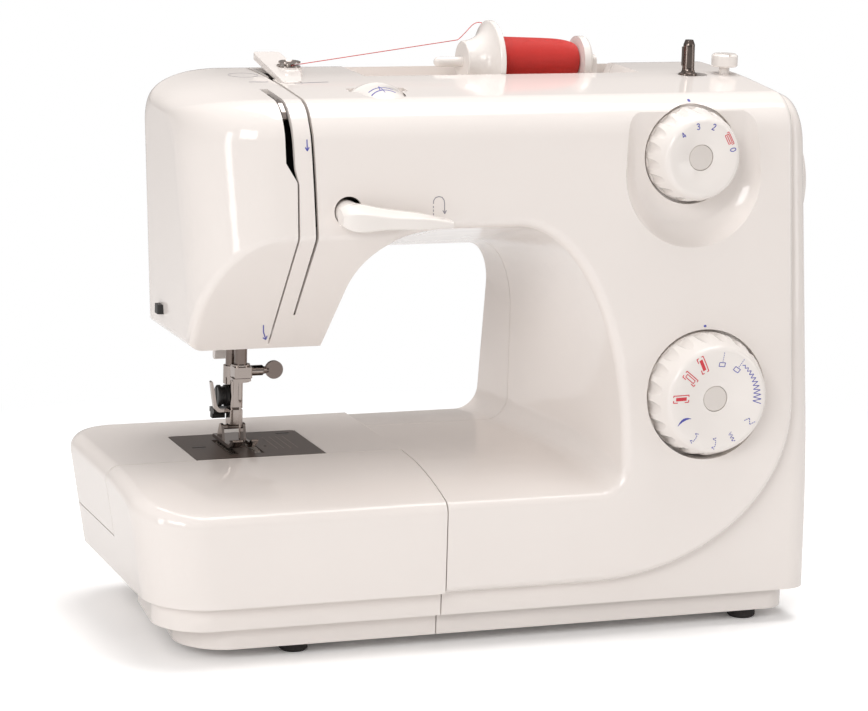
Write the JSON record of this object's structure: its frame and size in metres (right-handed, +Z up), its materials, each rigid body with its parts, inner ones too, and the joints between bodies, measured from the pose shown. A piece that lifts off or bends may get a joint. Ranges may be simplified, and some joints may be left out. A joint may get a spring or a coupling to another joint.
{
  "type": "sewing machine",
  "caption": "Domestic free-arm zigzag sewing machine with dials, handwheel, thread spool, needle and presser foot, and a slide-off extension table; warm white moulded case",
  "frame": {"origin": "on the floor under the middle of the machine's box", "axes": "+X to the handwheel end, +Y to the back, +Z up"},
  "size_m": [0.3618, 0.17, 0.2919],
  "materials": {
    "cover_plastic": "glossy warm white moulded plastic",
    "dial_plastic": "glossy warm white moulded plastic",
    "rubber_black": "matte black rubber",
    "plate_grey": "dark warm grey enamelled steel",
    "bright_steel": "polished plated steel",
    "black_plastic": "satin black plastic",
    "spool_white": "glossy white plastic",
    "thread_red": "red sewing thread",
    "cast_frame": "cast aluminium",
    "belt_rubber": "black belt rubber",
    "motor_black": "black enamelled steel"
  },
  "bodies": {
    "machine": {"front_cover": "cover_plastic", "rear_cover": "cover_plastic", "side_cover": "cover_plastic", "face_cover": "cover_plastic", "thread_guide": "cover_plastic", "free_arm_cover": "cover_plastic", "base_tray": "cover_plastic", "rubber_feet": "rubber_black", "needle_plate": "plate_grey", "needle_plate_screws": "bright_steel", "cover_screws": "bright_steel", "tension_unit": "bright_steel", "bobbin_stopper": "cover_plastic", "spool_pin": "spool_white", "spool_cap": "cover_plastic", "upper_thread": "thread_red", "guide_disc": "bright_steel", "thread_cutter": "black_plastic", "shuttle_race": "cast_frame", "bobbin_case": "bright_steel", "timing_belt": "belt_rubber", "motor_belt": "belt_rubber", "motor": "motor_black", "main_frame": "cast_frame", "power_inlet": "black_plastic"},
    "table": {"extension_table": "cover_plastic", "table_feet": "rubber_black"},
    "door": {"hook_cover": "cover_plastic"},
    "reverse": {"reverse_lever": "dial_plastic"},
    "stitch_dial": {"stitch_length_dial": "dial_plastic", "stitch_dial_cap": "cover_plastic"},
    "pattern": {"pattern_dial": "dial_plastic", "pattern_dial_cap": "cover_plastic"},
    "tension": {"tension_dial": "cover_plastic"},
    "take_up": {"take_up_lever": "bright_steel"},
    "drive": {"handwheel": "cover_plastic", "handwheel_cap": "cover_plastic", "main_shaft": "bright_steel"},
    "lower": {"lower_shaft": "bright_steel"},
    "rotor": {"motor_pulley": "bright_steel"},
    "hook": {"shuttle_hook": "bright_steel"},
    "bobbin": {"bobbin": "bright_steel"},
    "needle_unit": {"needle_bar": "bright_steel", "needle_clamp": "bright_steel", "needle": "bright_steel"},
    "clamp_screw": {"needle_clamp_screw": "bright_steel"},
    "presser": {"presser_bar": "bright_steel", "presser_foot_holder": "bright_steel"},
    "holder_screw": {"ankle_screw": "black_plastic"},
    "release": {"foot_release_lever": "black_plastic"},
    "foot": {"presser_foot": "bright_steel"},
    "lifter": {"foot_lifter": "cover_plastic"},
    "feed_slide": {"feed_carrier": "cast_frame"},
    "feed_teeth": {"feed_dog": "bright_steel"},
    "winder": {"winder_carriage": "black_plastic"},
    "winder_pin": {"winder_spindle": "bright_steel"},
    "spool": {"spool_core": "spool_white", "thread_winding": "thread_red"},
    "switch": {"power_switch": "black_plastic"},
    "handle": {"carry_handle": "cover_plastic"}
  },
  "joints": [
    {"name": "table_slide", "type": "slide", "parent": "machine", "child": "table", "axis": [-1, 0, 0], "range_m": [0, 0.155]},
    {"name": "door_hinge", "type": "hinge", "parent": "machine", "child": "door", "pos_m": [-0.111, -0.0053, 0.038], "axis": [1, 0, 0], "range_deg": [0, 75]},
    {"name": "reverse_press", "type": "hinge", "parent": "machine", "child": "reverse", "pos_m": [-0.082, -0.06, 0.2122], "axis": [0, 1, 0], "range_deg": [0, 18], "stiffness_Nm_per_rad": 0.25, "springref_deg": -4.58},
    {"name": "stitch_turn", "type": "hinge", "parent": "machine", "child": "stitch_dial", "pos_m": [0.0954, -0.06, 0.235], "axis": [0, -1, 0], "range_deg": [-25, 75]},
    {"name": "pattern_turn", "type": "hinge", "parent": "machine", "child": "pattern", "pos_m": [0.101, -0.072, 0.1194], "axis": [0, -1, 0], "continuous": true},
    {"name": "tension_turn", "type": "hinge", "parent": "machine", "child": "tension", "pos_m": [-0.056, -0.031, 0.2496], "axis": [0, 1, 0], "range_deg": [-150, 150]},
    {"name": "needle_slide", "type": "slide", "parent": "machine", "child": "needle_unit", "axis": [0, 0, 1], "range_m": [-0.01, 0.022]},
    {"name": "take_up_swing", "type": "hinge", "parent": "machine", "child": "take_up", "pos_m": [-0.11, -0.027, 0.228], "axis": [1, 0, 0], "range_deg": [-25.2, 11.5]},
    {"name": "clamp_screw_turn", "type": "hinge", "parent": "needle_unit", "child": "clamp_screw", "pos_m": [-0.0995, 0.015, 0.123], "axis": [1, 0, 0], "range_deg": [-180, 180]},
    {"name": "main_spin", "type": "hinge", "parent": "machine", "child": "drive", "pos_m": [0.16, 0.01, 0.2125], "axis": [1, 0, 0], "continuous": true},
    {"name": "lower_spin", "type": "hinge", "parent": "machine", "child": "lower", "pos_m": [0.06, 0.012, 0.05], "axis": [1, 0, 0], "continuous": true},
    {"name": "motor_spin", "type": "hinge", "parent": "machine", "child": "rotor", "pos_m": [0.12, 0.046, 0.112], "axis": [1, 0, 0], "continuous": true},
    {"name": "hook_swing", "type": "hinge", "parent": "machine", "child": "hook", "pos_m": [-0.1095, 0.02, 0.052], "axis": [0, 1, 0], "range_deg": [-100, 100]},
    {"name": "bobbin_spin", "type": "hinge", "parent": "machine", "child": "bobbin", "pos_m": [-0.1095, 0.01, 0.052], "axis": [0, 1, 0], "continuous": true},
    {"name": "lifter_swing", "type": "hinge", "parent": "machine", "child": "lifter", "pos_m": [-0.108, 0.05, 0.153], "axis": [1, 0, 0], "range_deg": [0, 46]},
    {"name": "presser_lift", "type": "slide", "parent": "machine", "child": "presser", "axis": [0, 0, 1], "range_m": [0, 0.006]},
    {"name": "holder_screw_turn", "type": "hinge", "parent": "presser", "child": "holder_screw", "pos_m": [-0.1135, 0.03, 0.1078], "axis": [1, 0, 0], "range_deg": [-180, 180]},
    {"name": "release_press", "type": "hinge", "parent": "presser", "child": "release", "pos_m": [-0.1095, 0.0312, 0.0998], "axis": [1, 0, 0], "range_deg": [0, 12], "stiffness_Nm_per_rad": 0.02, "springref_deg": -2.86},
    {"name": "foot_rock", "type": "hinge", "parent": "presser", "child": "foot", "pos_m": [-0.1095, 0.025, 0.093], "axis": [1, 0, 0], "range_deg": [-4, 0.5]},
    {"name": "feed_travel", "type": "slide", "parent": "machine", "child": "feed_slide", "axis": [0, 1, 0], "range_m": [-0.0025, 0.0025]},
    {"name": "feed_drop", "type": "slide", "parent": "feed_slide", "child": "feed_teeth", "axis": [0, 0, 1], "range_m": [-0.003, 0], "stiffness_N_per_m": 60, "springref_m": 0.002},
    {"name": "winder_shift", "type": "slide", "parent": "machine", "child": "winder", "axis": [1, 0, 0], "range_m": [0, 0.005]},
    {"name": "winder_spin", "type": "hinge", "parent": "winder", "child": "winder_pin", "pos_m": [0.1183, 0.0025, 0.27], "axis": [0, 0, 1], "continuous": true},
    {"name": "spool_spin", "type": "hinge", "parent": "machine", "child": "spool", "pos_m": [0.045, 0.032, 0.2715], "axis": [1, 0, 0], "continuous": true},
    {"name": "switch_rock", "type": "hinge", "parent": "machine", "child": "switch", "pos_m": [0.1597, 0.04, 0.072], "axis": [0, 1, 0], "range_deg": [-8, 8]},
    {"name": "handle_swing", "type": "hinge", "parent": "machine", "child": "handle", "pos_m": [0.03, 0.07, 0.236], "axis": [1, 0, 0], "range_deg": [0, 165]}
  ],
  "couplings": [
    {"joint": "lower_spin", "follows": "main_spin", "ratio": 1},
    {"joint": "motor_spin", "follows": "main_spin", "ratio": 3.6667},
    {"joint": "take_up_swing", "follows": "needle_slide", "rad_per_m": -19.8},
    {"joint": "lifter_swing", "follows": "presser_lift", "rad_per_m": 130.9}
  ]
}
